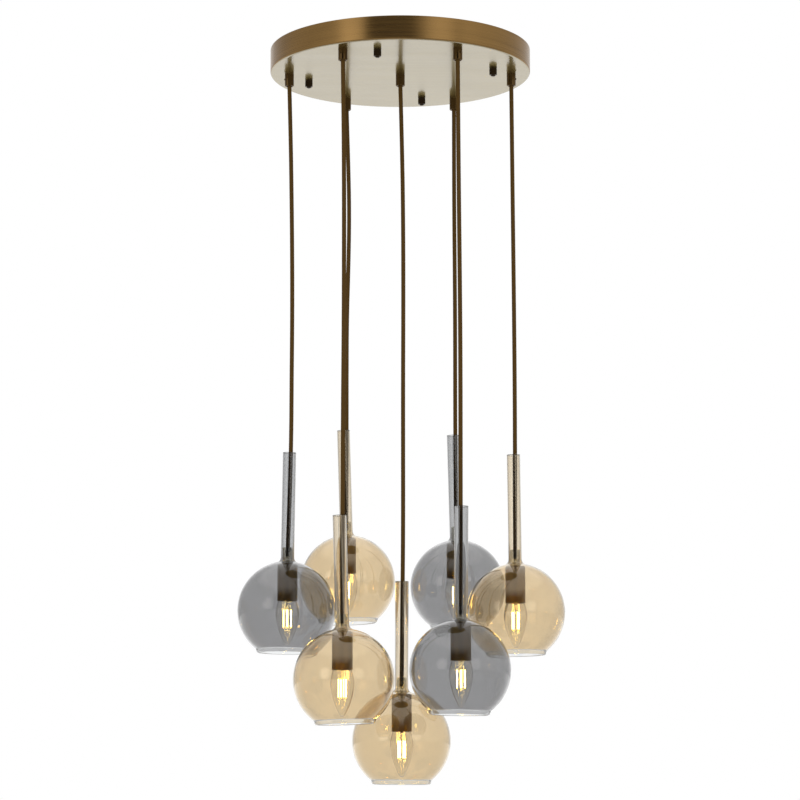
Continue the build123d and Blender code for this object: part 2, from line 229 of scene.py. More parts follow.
def tube(path, radius, columns, beside=(1, 0, 0)):
    """Grid of points of a tube: path(s) + r(s, θ)·(n·cos θ + b·sin θ).

    n is the fixed side direction made square to the path, and b is square to both.
    """
    ahead = unit(np.gradient(path, axis=0))
    side = np.array(beside, float)
    normal = unit(side - (ahead @ side)[:, None] * ahead)
    binormal = np.cross(ahead, normal)
    theta = round_angles(columns)
    ring = normal[:, None] * np.cos(theta)[:, None] + binormal[:, None] * np.sin(theta)[:, None]
    return path[:, None] + ring * np.broadcast_to(radius, (len(path), columns))[..., None]


def skin(grid, ring=False, tips=False):
    """Faces and UVs over a grid whose columns close on themselves.

    ring says that the rows close too, and tips that the first and the last row are single points.
    The UV is the distance down the rows and the distance round the columns at the widest row.
    """
    rows, columns = grid.shape[:2]
    i = np.arange(rows if ring else rows - 1)[:, None]
    j = np.arange(columns)[None, :]
    below, beside = (i + 1) % rows, (j + 1) % columns
    row, under = i * columns, below * columns
    faces = np.stack([row + j, row + beside, under + beside, under + j], -1)
    steps = np.linalg.norm(np.roll(grid, -1, 0) - grid, axis=-1).max(1)
    down = np.concatenate([[0], np.cumsum(steps)])
    girth = np.linalg.norm(np.roll(grid, -1, 1) - grid, axis=-1).max()
    near, far = down[:-1][i], down[1:][i]
    left, right = j * girth, (j + 1) * girth
    corners = (near, left), (near, right), (far, right), (far, left)
    uv = np.stack([np.stack(np.broadcast_arrays(*corner), -1) for corner in corners], -2)
    faces, uv = faces.reshape(-1, 4), uv.reshape(-1, 4, 2)
    points = grid.reshape(-1, 3)
    a, b, c, d = (points[faces[:, k]] for k in range(4))
    volume = (a * (np.cross(b, c) + np.cross(c, d))).sum()
    if tips:
        faces = np.where(faces < columns, 0, faces)
        last = (rows - 1) * columns
        faces = np.where(faces >= last, last, faces)
    if volume < 0:
        faces, uv = faces[:, ::-1], uv[:, ::-1]
    return points, faces, uv


def mesh_of(name, skins):
    """Mesh of several skins: quads stay quads, and a quad with two equal corners is a triangle."""
    points, corners, uvs, sizes, base = [], [], [], [], 0
    for vertices, faces, uv in skins:
        keep = faces != np.roll(faces, -1, 1)
        points.append(vertices)
        corners.append(faces[keep] + base)
        uvs.append(uv[keep])
        sizes.append(keep.sum(1))
        base += len(vertices)
    points, corners = np.concatenate(points), np.concatenate(corners)
    uvs, sizes = np.concatenate(uvs), np.concatenate(sizes)
    used, corners = np.unique(corners, return_inverse=True)
    mesh = bpy.data.meshes.new(name)
    mesh.vertices.add(len(used))
    mesh.vertices.foreach_set("co", points[used].astype(np.float32).ravel())
    mesh.loops.add(len(corners))
    mesh.loops.foreach_set("vertex_index", corners.astype(np.int32))
    mesh.polygons.add(len(sizes))
    starts = np.concatenate([[0], np.cumsum(sizes)[:-1]])
    mesh.polygons.foreach_set("loop_start", starts.astype(np.int32))
    mesh.polygons.foreach_set("loop_total", sizes.astype(np.int32))
    mesh.update(calc_edges=True)
    layer = mesh.uv_layers.new(name="surface")
    layer.data.foreach_set("uv", uvs.astype(np.float32).ravel())
    mesh.shade_smooth()
    return mesh, used


def piece(name, skins, material, slot, body, *replaced, **attributes):
    """Object of several skins, finished, riding on its body and standing for its CAD nodes.

    An attribute is a value at each point of its one skin, for its material to read.
    """
    mesh, used = mesh_of(name, skins)
    made = placed(name, mesh)
    mesh.materials.append(material)
    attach(made, body)
    if replaced:
        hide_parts(*replaced)
    for key, values in attributes.items():
        layer = mesh.attributes.new(key, "FLOAT", "POINT")
        layer.data.foreach_set("value", values[used].astype(np.float32))
    return made


# ---- finishes ----------------------------------------------------------------------------------


def new_material(name):
    """New material and its node tree, emptied."""
    material = bpy.data.materials.new(name)
    material.use_nodes = True
    material.node_tree.nodes.clear()
    return material, material.node_tree


def add_node(tree, kind, sockets=(), **settings):
    """Shader node with its settings, and its sockets set to a value or linked to an output."""
    node = tree.nodes.new(f"ShaderNode{kind}")
    for key, value in settings.items():
        setattr(node, key, value)
    for key, value in dict(sockets).items():
        if isinstance(value, bpy.types.NodeSocket):
            tree.links.new(value, node.inputs[key])
        else:
            node.inputs[key].default_value = value
    return node


def finished(material, sockets):
    """The material, given its Principled shader and its output."""
    tree = material.node_tree
    shader = add_node(tree, "BsdfPrincipled", sockets)
    add_node(tree, "OutputMaterial", {"Surface": shader.outputs[0]})
    return material


def maths(tree, operation, a, b=0.0, c=0.0):
    """Output of one sum on numbers or outputs."""
    return add_node(tree, "Math", {0: a, 1: b, 2: c}, operation=operation).outputs[0]


def blend_of(tree, share, first, second):
    """Colour between two others."""
    ends = [
        end if isinstance(end, bpy.types.NodeSocket) else (*end[:3], 1) for end in (first, second)
    ]
    sockets = {0: share, 6: ends[0], 7: ends[1]}
    return add_node(tree, "Mix", sockets, data_type="RGBA").outputs[2]


def tone(colour, factor):
    """A colour made lighter or darker."""
    return tuple(channel * factor for channel in colour[:3])


def varied(tree, share, colour, low, high):
    """A colour times low where the share is 0, and times high where it is 1."""
    return blend_of(tree, share, tone(colour, low), tone(colour, high))


def mapped(tree, value, low, high, first, last, **settings):
    """A value's place between low and high, as the same place between first and last."""
    sockets = {0: value, 1: low, 2: high, 3: first, 4: last}
    return add_node(tree, "MapRange", sockets, **settings).outputs[0]


def object_place(tree, *factors):
    """The object's own coordinates in metres, and with factors each part times its own factor."""
    place = add_node(tree, "TexCoord").outputs["Object"]
    if factors:
        place = add_node(tree, "Mapping", {"Vector": place, "Scale": factors}).outputs[0]
    return place


def noise(tree, scale, detail=2.0, roughness=0.5, vector=None):
    """Noise between 0 and 1 on a vector, or on the object's own coordinates."""
    vector = vector or object_place(tree)
    sockets = {"Vector": vector, "Scale": scale, "Detail": detail, "Roughness": roughness}
    return add_node(tree, "TexNoise", sockets).outputs["Fac"]


def parts_of(tree, vector):
    """The three parts of a vector."""
    return add_node(tree, "SeparateXYZ", {0: vector}).outputs


def down_profile(tree):
    """Distance down the piece's profile, in metres: the first part of its own UV."""
    return parts_of(tree, add_node(tree, "UVMap", uv_map="surface").outputs["UV"])[0]


def attribute(tree, name):
    """Value of one of the piece's own attributes."""
    return add_node(tree, "Attribute", attribute_name=name).outputs["Fac"]


def bumped(tree, height, strength, distance):
    """Normal that follows a height, whose full depth is a distance in metres."""
    sockets = {"Height": height, "Strength": strength, "Distance": distance}
    return add_node(tree, "Bump", sockets).outputs[0]


def brush_lines(tree, across, pace):
    """Noise between 0 and 1 that is slow over the piece and quick across its brush lines."""
    x, y, _ = parts_of(tree, object_place(tree, 5, 5, 5))
    sockets = {0: x, 1: y, 2: maths(tree, "MULTIPLY", across, pace)}
    place = add_node(tree, "CombineXYZ", sockets).outputs[0]
    return noise(tree, 1.0, 3.0, 0.6, place)


def brushed_metal(
    name, colour, roughness, coat=0.1, grain=0.1, spread=0.18, along=0.75, gleam=1.8, pace=260.0
):
    """Brushed and lacquered metal: lines along the piece's V direction, in colour and gloss.

    grain is the strength of the lines' relief, spread the share by which they vary the colour, and
    along how far they stretch a reflection. coat and gleam are the lacquer's weight and index of
    refraction, and pace is how many broad streaks there are to a metre.
    """
    material, tree = new_material(name)
    across, fine_pace = down_profile(tree), 1400.0
    fine, broad = brush_lines(tree, across, fine_pace), brush_lines(tree, across, pace)
    lines = maths(tree, "MULTIPLY_ADD", fine, 0.5, maths(tree, "MULTIPLY", broad, 0.5))
    clouds = noise(tree, 14.0, 4.0)
    cloudy = varied(tree, clouds, colour, 1 - spread / 2, 1 + spread / 2)
    streaked = varied(tree, lines, colour, 1 - spread, 1 + spread)
    lacquer = maths(tree, "MULTIPLY_ADD", broad, 0.5, 0.7)
    tangent = add_node(tree, "Tangent", direction_type="UV_MAP", uv_map="surface")
    sockets = {
        "Base Color": blend_of(tree, 0.5, cloudy, streaked),
        "Metallic": 1.0,
        "Roughness": maths(tree, "MULTIPLY_ADD", lines, 0.2, roughness - 0.1),
        "Anisotropic": along,
        "Coat Weight": maths(tree, "MULTIPLY", lacquer, coat),
        "Coat Roughness": 0.14,
        "Coat IOR": gleam,
        "Normal": bumped(tree, fine, grain, 0.00006),
        "Tangent": tangent.outputs[0],
    }
    return finished(material, sockets)


def plain_metal(name, colour, roughness):
    """Metal with faint clouds in its colour and gloss, and fine specks in its relief."""
    material, tree = new_material(name)
    specks = noise(tree, 1280.0)
    clouds = noise(tree, 160.0, 4.0)
    sockets = {
        "Base Color": varied(tree, clouds, colour, 0.88, 1.12),
        "Metallic": 1.0,
        "Roughness": maths(tree, "MULTIPLY_ADD", clouds, 0.16, roughness - 0.08),
        "Normal": bumped(tree, specks, 0.25, 0.00004),
    }
    return finished(material, sockets)


def moulded_plastic(name, colour, roughness):
    """Moulded plastic with a faint grain."""
    material, tree = new_material(name)
    grain = noise(tree, 2200.0)
    clouds = noise(tree, 90.0, 3.0)
    sockets = {
        "Base Color": varied(tree, clouds, colour, 0.9, 1.08),
        "Roughness": maths(tree, "MULTIPLY_ADD", grain, 0.15, roughness - 0.07),
        "Normal": bumped(tree, grain, 0.3, 0.00003),
    }
    return finished(material, sockets)


def clear_glass(name, tint, index, ripple, lustre=(1, 1, 1), coloured=False):
    """Clear or coloured glass or plastic with the faint slow ripples of a blown surface.

    index is its index of refraction, and lustre the tint of its reflections. A coloured piece
    says with its own attribute how deep the colour is: 1 on the globe, less on the thin neck, and
    0 on the lip.
    """
    material, tree = new_material(name)
    slow = noise(tree, 22.0)
    drawn = noise(tree, 1.0, 1.0, vector=object_place(tree, 90.0, 90.0, 9.0))
    height = maths(tree, "MULTIPLY_ADD", drawn, 0.25, slow)
    base = varied(tree, noise(tree, 9.0), tint, 0.985, 1.015)
    if coloured:
        base = blend_of(tree, attribute(tree, "colour_depth"), (0.94, 0.95, 0.95), base)
    sockets = {
        "Base Color": base,
        "Roughness": 0.0,
        "IOR": index,
        "Transmission Weight": 1.0,
        "Specular Tint": (*lustre, 1),
        "Normal": bumped(tree, height, ripple, 0.0006),
    }
    return finished(material, sockets)


def braided_textile(name, colour):
    """Braided yarn: painted shade between the strands, lighter on them, with fine flecks of yarn."""
    material, tree = new_material(name)
    flecks = noise(tree, 900.0, 3.0)
    slow = noise(tree, 25.0)
    aged = blend_of(tree, slow, varied(tree, flecks, colour, 0.7, 1.35), tone(colour, 0.9))
    sockets = {
        # Painted shade: where the braid dips between the strands, the yarn colour falls to 0.3 of itself
        "Base Color": blend_of(tree, attribute(tree, "relief"), tone(colour, 0.3), aged),
        "Roughness": maths(tree, "MULTIPLY_ADD", flecks, 0.2, 0.68),
        "Specular IOR Level": 0.15,
        "Sheen Weight": 0.02,
        "Sheen Roughness": 0.4,
        "Normal": bumped(tree, flecks, 0.5, 0.00008),
    }
    return finished(material, sockets)


def glowing_stick(name, colour, strength, length):
    """Lit filament: white-hot along its middle, and dull gold at its two ends."""
    material, tree = new_material(name)
    gold, dull = (1.0, 0.58, 0.08), 1.5
    middle = maths(tree, "MULTIPLY_ADD", down_profile(tree), 2 / length, -1.0)
    share = mapped(tree, maths(tree, "ABSOLUTE", middle), 0.82, 0.96, 1.0, 0.0)
    sockets = {
        "Base Color": (*colour[:3], 1),
        "Roughness": 0.5,
        "Emission Color": blend_of(tree, share, gold, colour),
        "Emission Strength": maths(tree, "MULTIPLY_ADD", share, strength - dull, dull),
    }
    return finished(material, sockets)


# ---- settings ----------------------------------------------------------------------------------


class PlateSettings(PropertyGroup):
    """Sizes and finishes of the ceiling plate and what is fixed to it."""

    plate_radius: FloatProperty(
        name="Plate radius", description="Radius of the ceiling plate", default=0.2, unit="LENGTH"
    )
    plate_depth: FloatProperty(
        name="Plate depth", description="Depth of the pan", default=0.037, unit="LENGTH"
    )
    bronze: FloatVectorProperty(
        name="Brushed bronze", description="Colour of the rim", subtype="COLOR", default=(0.325, 0.186, 0.06)
    )
    # Flat faces' bronze: its lacquer is real, and its lighter, yellower colour than the rim's is a painted
    # reflection of the pale floor
    lacquer_and_painted_light: FloatVectorProperty(
        name="Lacquered bronze", description="Colour of the flat faces", subtype="COLOR",
        default=(0.375, 0.285, 0.085),
    )
    dark_bronze: FloatVectorProperty(
        name="Dark bronze", description="Cord grips", subtype="COLOR", default=(0.11, 0.062, 0.017)
    )
    black_bronze: FloatVectorProperty(
        name="Black bronze", description="Cap nuts", subtype="COLOR", default=(0.042, 0.025, 0.01)
    )
    knurls: IntProperty(name="Knurls", description="Ridges round a cap nut", default=30)


class CordSettings(PropertyGroup):
    """Size, braid and colour of the textile cords."""

    diameter: FloatProperty(
        name="Diameter", description="Cord diameter over the braid", default=0.0065, unit="LENGTH"
    )
    strands: IntProperty(name="Strands", description="Braid strands each way round", default=8)
    relief: FloatProperty(
        name="Relief", description="Depth between strands", default=0.00022, unit="LENGTH"
    )
    colour: FloatVectorProperty(
        name="Yarn", description="Yarn colour", subtype="COLOR", default=(0.092, 0.047, 0.008)
    )


class HeadSettings(PropertyGroup):
    """Finishes of the lamp holders."""

    cup_bronze: FloatVectorProperty(
        name="Cup bronze", description="Colour of the cups", subtype="COLOR", default=(0.22, 0.125, 0.03)
    )
    collar: FloatVectorProperty(
        name="Collar", description="Clear plastic of the collars", subtype="COLOR", default=(0.62, 0.6, 0.5)
    )


class BulbSettings(PropertyGroup):
    """Size and glow of the candle bulbs."""

    radius: FloatProperty(name="Radius", description="Widest radius", default=0.0175, unit="LENGTH")
    length: FloatProperty(name="Length", description="Glass length", default=0.073, unit="LENGTH")
    glow: FloatProperty(name="Glow", description="Strength of the filaments", default=50.0)
    warm_white: FloatVectorProperty(
        name="Warm white", description="Filament colour", subtype="COLOR", default=(1.0, 0.76, 0.24)
    )


class GlassSettings(PropertyGroup):
    """Sizes and tints of the blown shades."""

    globe_radius: FloatProperty(
        name="Globe radius", description="Outer radius", default=0.07345, unit="LENGTH"
    )
    globe_wall: FloatProperty(
        name="Globe wall", description="Thickness of the globe", default=0.0019, unit="LENGTH"
    )
    neck_radius: FloatProperty(
        name="Neck radius", description="Outer radius of the neck", default=0.01, unit="LENGTH"
    )
    neck_wall: FloatProperty(
        name="Neck wall", description="Thickness of the neck", default=0.0014, unit="LENGTH"
    )
    neck_paler: FloatProperty(
        name="Neck paler", description="Share of the colour that the thin neck lacks", default=0.36
    )
    smoke: FloatVectorProperty(
        name="Smoke", description="Smoke tint", subtype="COLOR", default=(0.525, 0.525, 0.53)
    )
    amber: FloatVectorProperty(
        name="Amber", description="Amber tint", subtype="COLOR", default=(0.88, 0.76, 0.575)
    )


class StageSettings(PropertyGroup):
    """Camera, floor and light."""

    camera_place: FloatVectorProperty(
        name="Camera", description="Camera place", subtype="XYZ", unit="LENGTH",
        default=(-0.0028, -4.196, -1.171),
    )
    camera_pitch: FloatProperty(
        name="Pitch", description="Camera tilt upwards", subtype="ANGLE", default=radians(8.5)
    )
    camera_roll: FloatProperty(
        name="Roll", description="Camera tilt sideways", subtype="ANGLE", default=radians(0.12)
    )
    lens: FloatProperty(name="Lens", description="Focal length in millimetres", default=126.0)
    floor_drop: FloatProperty(
        name="Floor", description="Depth of the floor below the ceiling", default=1.75, unit="LENGTH"
    )


# ---- pieces ------------------------------------------------------------------------------------


class PENDANT_OT_ceiling_plate(Operator):
    """Make the brushed ceiling plate"""

    bl_idname = "pendant.ceiling_plate"
    bl_label = "Ceiling plate"

    def execute(self, context):
        """Pan turned from a thin profile; the bottom's brush lines run straight along X."""
        size = context.scene.pendant_plate
        radius, depth = size.plate_radius / MM, size.plate_depth / MM
        sheet, gap = 1.2, 0.5
        corners = (
            (0, -depth), (radius, -depth), (radius, -gap), (radius - sheet, -gap),
            (radius - sheet, sheet - depth), (0, sheet - depth),
        )
        profile = rounded(corners, (0, 3, 0.5, 0.5, 1.8, 0), closed=False, steps=9)
        rim = brushed_metal(
            "brushed_bronze_rim", size.bronze, 0.28, coat=0.08, grain=0.12, spread=0.7
        )
        # Flat faces: real lacquer, and a lighter bronze than the rim's as a painted reflection of the pale
        # floor
        face = brushed_metal(
            "brushed_bronze_face", size.lacquer_and_painted_light, 0.34, coat=1.0, grain=0.12, spread=0.4,
            gleam=3.3, pace=80.0,
        )
        plate = piece(
            "ceiling_plate", [skin(turned(profile, (0, 0, 0), 256), tips=True)], rim,
            "plate_bronze", "fitting", "canopy_cover",
        )
        self.straight_lines(plate.data, face)
        return {"FINISHED"}

    def straight_lines(self, mesh, face):
        """Give flat faces their own lacquered material, painted lighter as a reflection of the pale floor,
        and the UV (y, x), whose lines run straight along X.
        """
        mesh.materials.append(face)
        upright = 0.75
        flat = np.abs(read(mesh.polygons, "normal", 3)[:, 2]) > upright
        mesh.polygons.foreach_set("material_index", flat.astype(np.int32))
        corner = read(mesh.loops, "vertex_index", 1, np.int32)[:, 0]
        straight = read(mesh.vertices, "co", 3)[corner][:, [1, 0]]
        total = read(mesh.polygons, "loop_total", 1, np.int32)[:, 0]
        layer = mesh.uv_layers["surface"].data
        uv = np.where(np.repeat(flat, total)[:, None], straight, read(layer, "uv", 2))
        layer.foreach_set("uv", uv.ravel())


def nut_places():
    """Plan places of the four cap nuts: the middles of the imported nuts, one in each quadrant."""
    plan = read(frame["nodes"]["cap_nuts"].data.vertices, "co", 3)[:, :2].astype(float)
    quarter = (plan[:, 0] > 0) * 2 + (plan[:, 1] > 0)
    return [(plan[quarter == q].min(0) + plan[quarter == q].max(0)) / 2 for q in range(4)]


class PENDANT_OT_cap_nuts(Operator):
    """Make the knurled cap nuts under the plate"""

    bl_idname = "pendant.cap_nuts"
    bl_label = "Cap nuts"

    def execute(self, context):
        """Turned nut whose side sinks by depth·(1 - cos(knurls·θ))/2 between its two plain bands."""
        settings = context.scene.pendant_plate
        radius, top, bottom = 5.75, -37, -47
        band_top, band_foot, fade, depth = -38, -46, 0.5, 0.28
        dome, tip = 3.5, -49
        corners = ((0, top), (radius, top), (radius, bottom), (dome, bottom), (dome, tip), (0, tip))
        outline = rounded(corners, (0, 0.2, 0.8, 0.15, 1.8, 0), closed=False, steps=6)
        profile = stepped(outline, radius, band_top, band_foot, 24)

        def knurl(theta, height):
            """Sink of the knurled band."""
            band = between(height, band_foot, band_top, fade)
            return -depth * MM * band * (1 - np.cos(settings.knurls * theta)) / 2

        skins = [
            skin(turned(profile, (x, y, 0), settings.knurls * 6, knurl), tips=True)
            for x, y in nut_places()
        ]
        black = brushed_metal("black_bronze_nuts", settings.black_bronze, 0.28, spread=0.15)
        piece("cap_nuts_knurled", skins, black, "dark_bronze", "fitting", "cap_nuts")
        return {"FINISHED"}


class PENDANT_OT_cord_grips(Operator):
    """Make the cord grips and their side screws"""

    bl_idname = "pendant.cord_grips"
    bl_label = "Cord grips"

    def execute(self, context):
        """Turned grips, each with its side screw."""
        plate = -context.scene.pendant_plate.plate_depth / MM
        corners = (
            (3.7, 13), (4.4, 13), (5, 12.4), (5, 0), (7, 0),
            (7, -17.2), (6.2, -18), (5, -18), (3.7, -14.4),
        )
        radii = (0.1, 0.1, 0.1, 0.1, 0.2, 0.25, 0.25, 0.15, 0.3)
        profile = rounded(np.array(corners) + (0, plate), radii)
        places = [grip_pivot(name)[:2] for name in PENDANTS]
        skins = [skin(turned(profile, (x, y, 0), 64), ring=True) for x, y in places]
        bronze = context.scene.pendant_plate.dark_bronze
        dark = brushed_metal("dark_bronze_grips", bronze, 0.24, spread=0.15)
        piece("cord_grips_turned", skins, dark, "dark_bronze", "fitting", "cord_grips")
        self.side_screws(plate, dark)
        return {"FINISHED"}

    def side_screws(self, plate, dark):
        """Grub screws square to the grips, pointing outwards, and forwards on the centre grip.

        The socket is a hexagon: its radius is flat / cos(θ from the middle of the nearest flat).
        """
        below_plate, start, end, deep, flat = 7, 3.3, 7.8, 1.2, 0.75
        outside = (
            (0, start), (1.5, start), (1.5, end - 0.3), (1.44, end - 0.1), (1.3, end), (1.1, end),
        )
        socket = ((1, end), (1, end - 0.1), (1, end - deep), (0, end - deep))
        rows = np.array(outside + socket)
        theta = round_angles(48)
        hexagon = flat / np.cos((theta + np.pi / 6) % (np.pi / 3) - np.pi / 6)
        inside = (np.arange(len(rows)) >= len(outside))[:, None]
        radius = np.where(inside, rows[:, :1] * hexagon, rows[:, :1])
        skins = []
        for name in PENDANTS:
            x, y = grip_pivot(name)[:2]
            outward = np.array([0.0, -1.0, 0.0])
            if abs(x) + abs(y) > MM:
                outward = unit(np.array([x, y, 0]))
            across = np.array([-outward[1], outward[0], 0])
            grid = (
                outward * rows[:, 1][:, None, None]
                + across * (radius * np.cos(theta))[..., None]
                + np.array([0.0, 0.0, 1.0]) * (radius * np.sin(theta))[..., None]
            ) * MM
            skins.append(skin(grid + np.array([x, y, (plate - below_plate) * MM]), tips=True))
        piece("grip_side_screws", skins, dark, "dark_bronze", "fitting", "grip_screws")


class PENDANT_OT_ceiling_hardware(Operator):
    """Finish the bracket, studs, nuts and wiring inside the plate"""

    bl_idname = "pendant.ceiling_hardware"
    bl_label = "Ceiling hardware"

    def execute(self, context):
        """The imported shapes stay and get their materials."""
        zinc = plain_metal("zinc_plated_steel", (0.52, 0.53, 0.55), 0.38)
        brass = plain_metal("machined_brass", (0.6, 0.42, 0.16), 0.3)
        white = moulded_plastic("white_plastic", (0.72, 0.72, 0.69), 0.4)
        sleeve = moulded_plastic("wire_sleeve", (0.3, 0.31, 0.33), 0.35)
        # The cord tails carry no braid heights, so they take the painted shade colour of the strand gaps all
        # over
        textile = braided_textile("cord_end_textile", context.scene.pendant_cord.colour)
        finishes = {
            "ceiling_bracket": (zinc, "zinc_steel"),
            "bracket_studs": (zinc, "zinc_steel"),
            "grip_locknuts": (brass, "plain_brass"),
            "earth_screw": (brass, "plain_brass"),
            "terminal_block": (white, "terminal_plastic"),
            "core_wires": (sleeve, "core_insulation"),
            "cord_tails": (textile, "textile_cord"),
        }
        for node, (material, slot) in finishes.items():
            made = frame["nodes"][node]
            made.data.materials.clear()
            made.data.materials.append(material)
        return {"FINISHED"}


def cord_route(name):
    """Route points of one cord, from its pivot in the grip down to its seat in the collar."""
    top = grip_pivot(name)
    seat = above_centre(name, CORD_SEAT)
    shares = np.linspace(0, 1, len(CORD_STRAY[name]))
    return [
        top + (seat - top) * share + np.array([stray * MM, 0, 0])
        for share, stray in zip(shares, CORD_STRAY[name])
    ]


def smooth_path(points, step):
    """Points along the NURBS line that has the route's points as its control points."""
    curve = bpy.data.curves.new("route", "CURVE")
    curve.dimensions = "3D"
    spline = curve.splines.new("NURBS")
    spline.points.add(len(points) - 1)
    for point, place in zip(spline.points, points):
        point.co = (*place, 1)
    spline.order_u = 3
    spline.use_endpoint_u = True
    spline.resolution_u = 24
    holder = placed("route", curve)
    line = bpy.data.meshes.new_from_object(holder)
    co = read(line.vertices, "co", 3).astype(float)
    bpy.data.objects.remove(holder)
    bpy.data.curves.remove(curve)
    bpy.data.meshes.remove(line)
    far = np.concatenate([[0], np.cumsum(np.linalg.norm(np.diff(co, axis=0), axis=1))])
    even = np.linspace(0, far[-1], int(far[-1] / step) + 1)
    return np.stack([np.interp(even, far, co[:, k]) for k in range(3)], 1), even


def braid_height(theta, along, strands, pitch):
    """Height from 0 to 1 of a plain braid.

    Strands of two families lie at whole numbers of a = n·θ/2π + s/pitch and b = n·θ/2π - s/pitch.
    Each is an arch across, sqrt(1 - (2·offset)²), and dips under the other family at every other
    crossing, by (1 + cos(π·(b + its own number)))/2 for one family and 1 minus that for the other.
    """
    a = strands * theta / TAU + along / pitch
    b = strands * theta / TAU - along / pitch
    first, second = np.round(a), np.round(b)
    arch_a = np.sqrt(np.clip(1 - (2 * (a - first)) ** 2, 0, 1))
    arch_b = np.sqrt(np.clip(1 - (2 * (b - second)) ** 2, 0, 1))
    over_a = (1 + np.cos(np.pi * (b + first))) / 2
    over_b = (1 - np.cos(np.pi * (a + second))) / 2
    return np.maximum(arch_a * over_a, arch_b * over_b)


class PENDANT_OT_cords(Operator):
    """Make the seven textile cords"""

    bl_idname = "pendant.cords"
    bl_label = "Textile cords"

    def execute(self, context):
        """Tube along the route, its radius R - relief·(1 - braid height), with round ends."""
        size = context.scene.pendant_cord
        textile = braided_textile("braided_cord_textile", size.colour)
        columns_to_strand, rows_to_pitch = 5, 4.4
        radius, columns = size.diameter / 2, size.strands * columns_to_strand
        pitch = TAU * radius / size.strands
        theta = round_angles(columns)
        for name in PENDANTS:
            path, along = smooth_path(cord_route(name), pitch / rows_to_pitch)
            height = braid_height(theta[None, :], along[:, None], size.strands, pitch)
            ends = np.minimum(along, along[-1] - along)
            taper = np.sqrt(np.clip(1 - (1 - np.clip(ends / radius, 0, 1)) ** 2, 0, 1))[:, None]
            grid = tube(path, (radius - size.relief * (1 - height)) * taper, columns)
            made = piece(
                f"textile_cord_{name}", [skin(grid, tips=True)], textile, "textile_cord",
                f"pendant_{name}", f"cord_{name}", relief=height.ravel(),
            )
        return {"FINISHED"}


class PENDANT_OT_lamp_holders(Operator):
    """Make the collars, cups and sockets"""

    bl_idname = "pendant.lamp_holders"
    bl_label = "Lamp holders"

    def execute(self, context):
        """Turned pieces, each a closed profile of radius and height above the globe's centre."""
        settings = context.scene.pendant_head
        clear = clear_glass("clear_collar_plastic", settings.collar, 1.49, 0.1)
        bronze = brushed_metal("satin_bronze_cup", settings.cup_bronze, 0.48, along=0.3)
        black = moulded_plastic("black_socket_plastic", (0.012, 0.012, 0.013), 0.45)
        collar = rounded(
            (
                (3.4, 94), (7.35, 94), (7.35, 69.6), (4.8, 69.6), (4.8, 61.5), (1.5, 61.5),
                (1.5, CORD_SEAT), (3.4, CORD_SEAT),
            ),
            (0.3, 1, 0.3, 0.2, 0.3, 0.1, 0.1, 0.1),
        )
        cup = rounded(
            ((4.85, 69.5), (15, 69.5), (15, 14), (14, 14), (14, 68.3), (4.85, 68.3)),
            (0.1, 2, 0.3, 0.3, 1, 0.1), steps=8,
        )
        socket = rounded(
            (
                (11.5, 21), (13.5, 21), (13.5, 66.3), (11.5, 68.2), (4.9, 68.2), (4.9, 60.5),
                (2.5, 60.5), (2.5, 47), (7.1, 47), (7.1, 26), (11.5, 26),
            ),
            0.2,
        )
        kinds = (
            ("collar", collar, 64, clear, "clear_plastic", "cord_clamp"),
            ("cup", cup, 96, bronze, "holder_bronze", "holder_cup"),
            ("socket", socket, 64, black, "socket_plastic", "lamp_socket"),
        )
        for name in PENDANTS:
            for kind, profile, segments, material, slot, node in kinds:
                skins = [skin(turned(profile, globe_centre(name), segments), ring=True)]
                piece(f"{kind}_{name}", skins, material, slot, f"pendant_{name}", f"{node}_{name}")
        return {"FINISHED"}


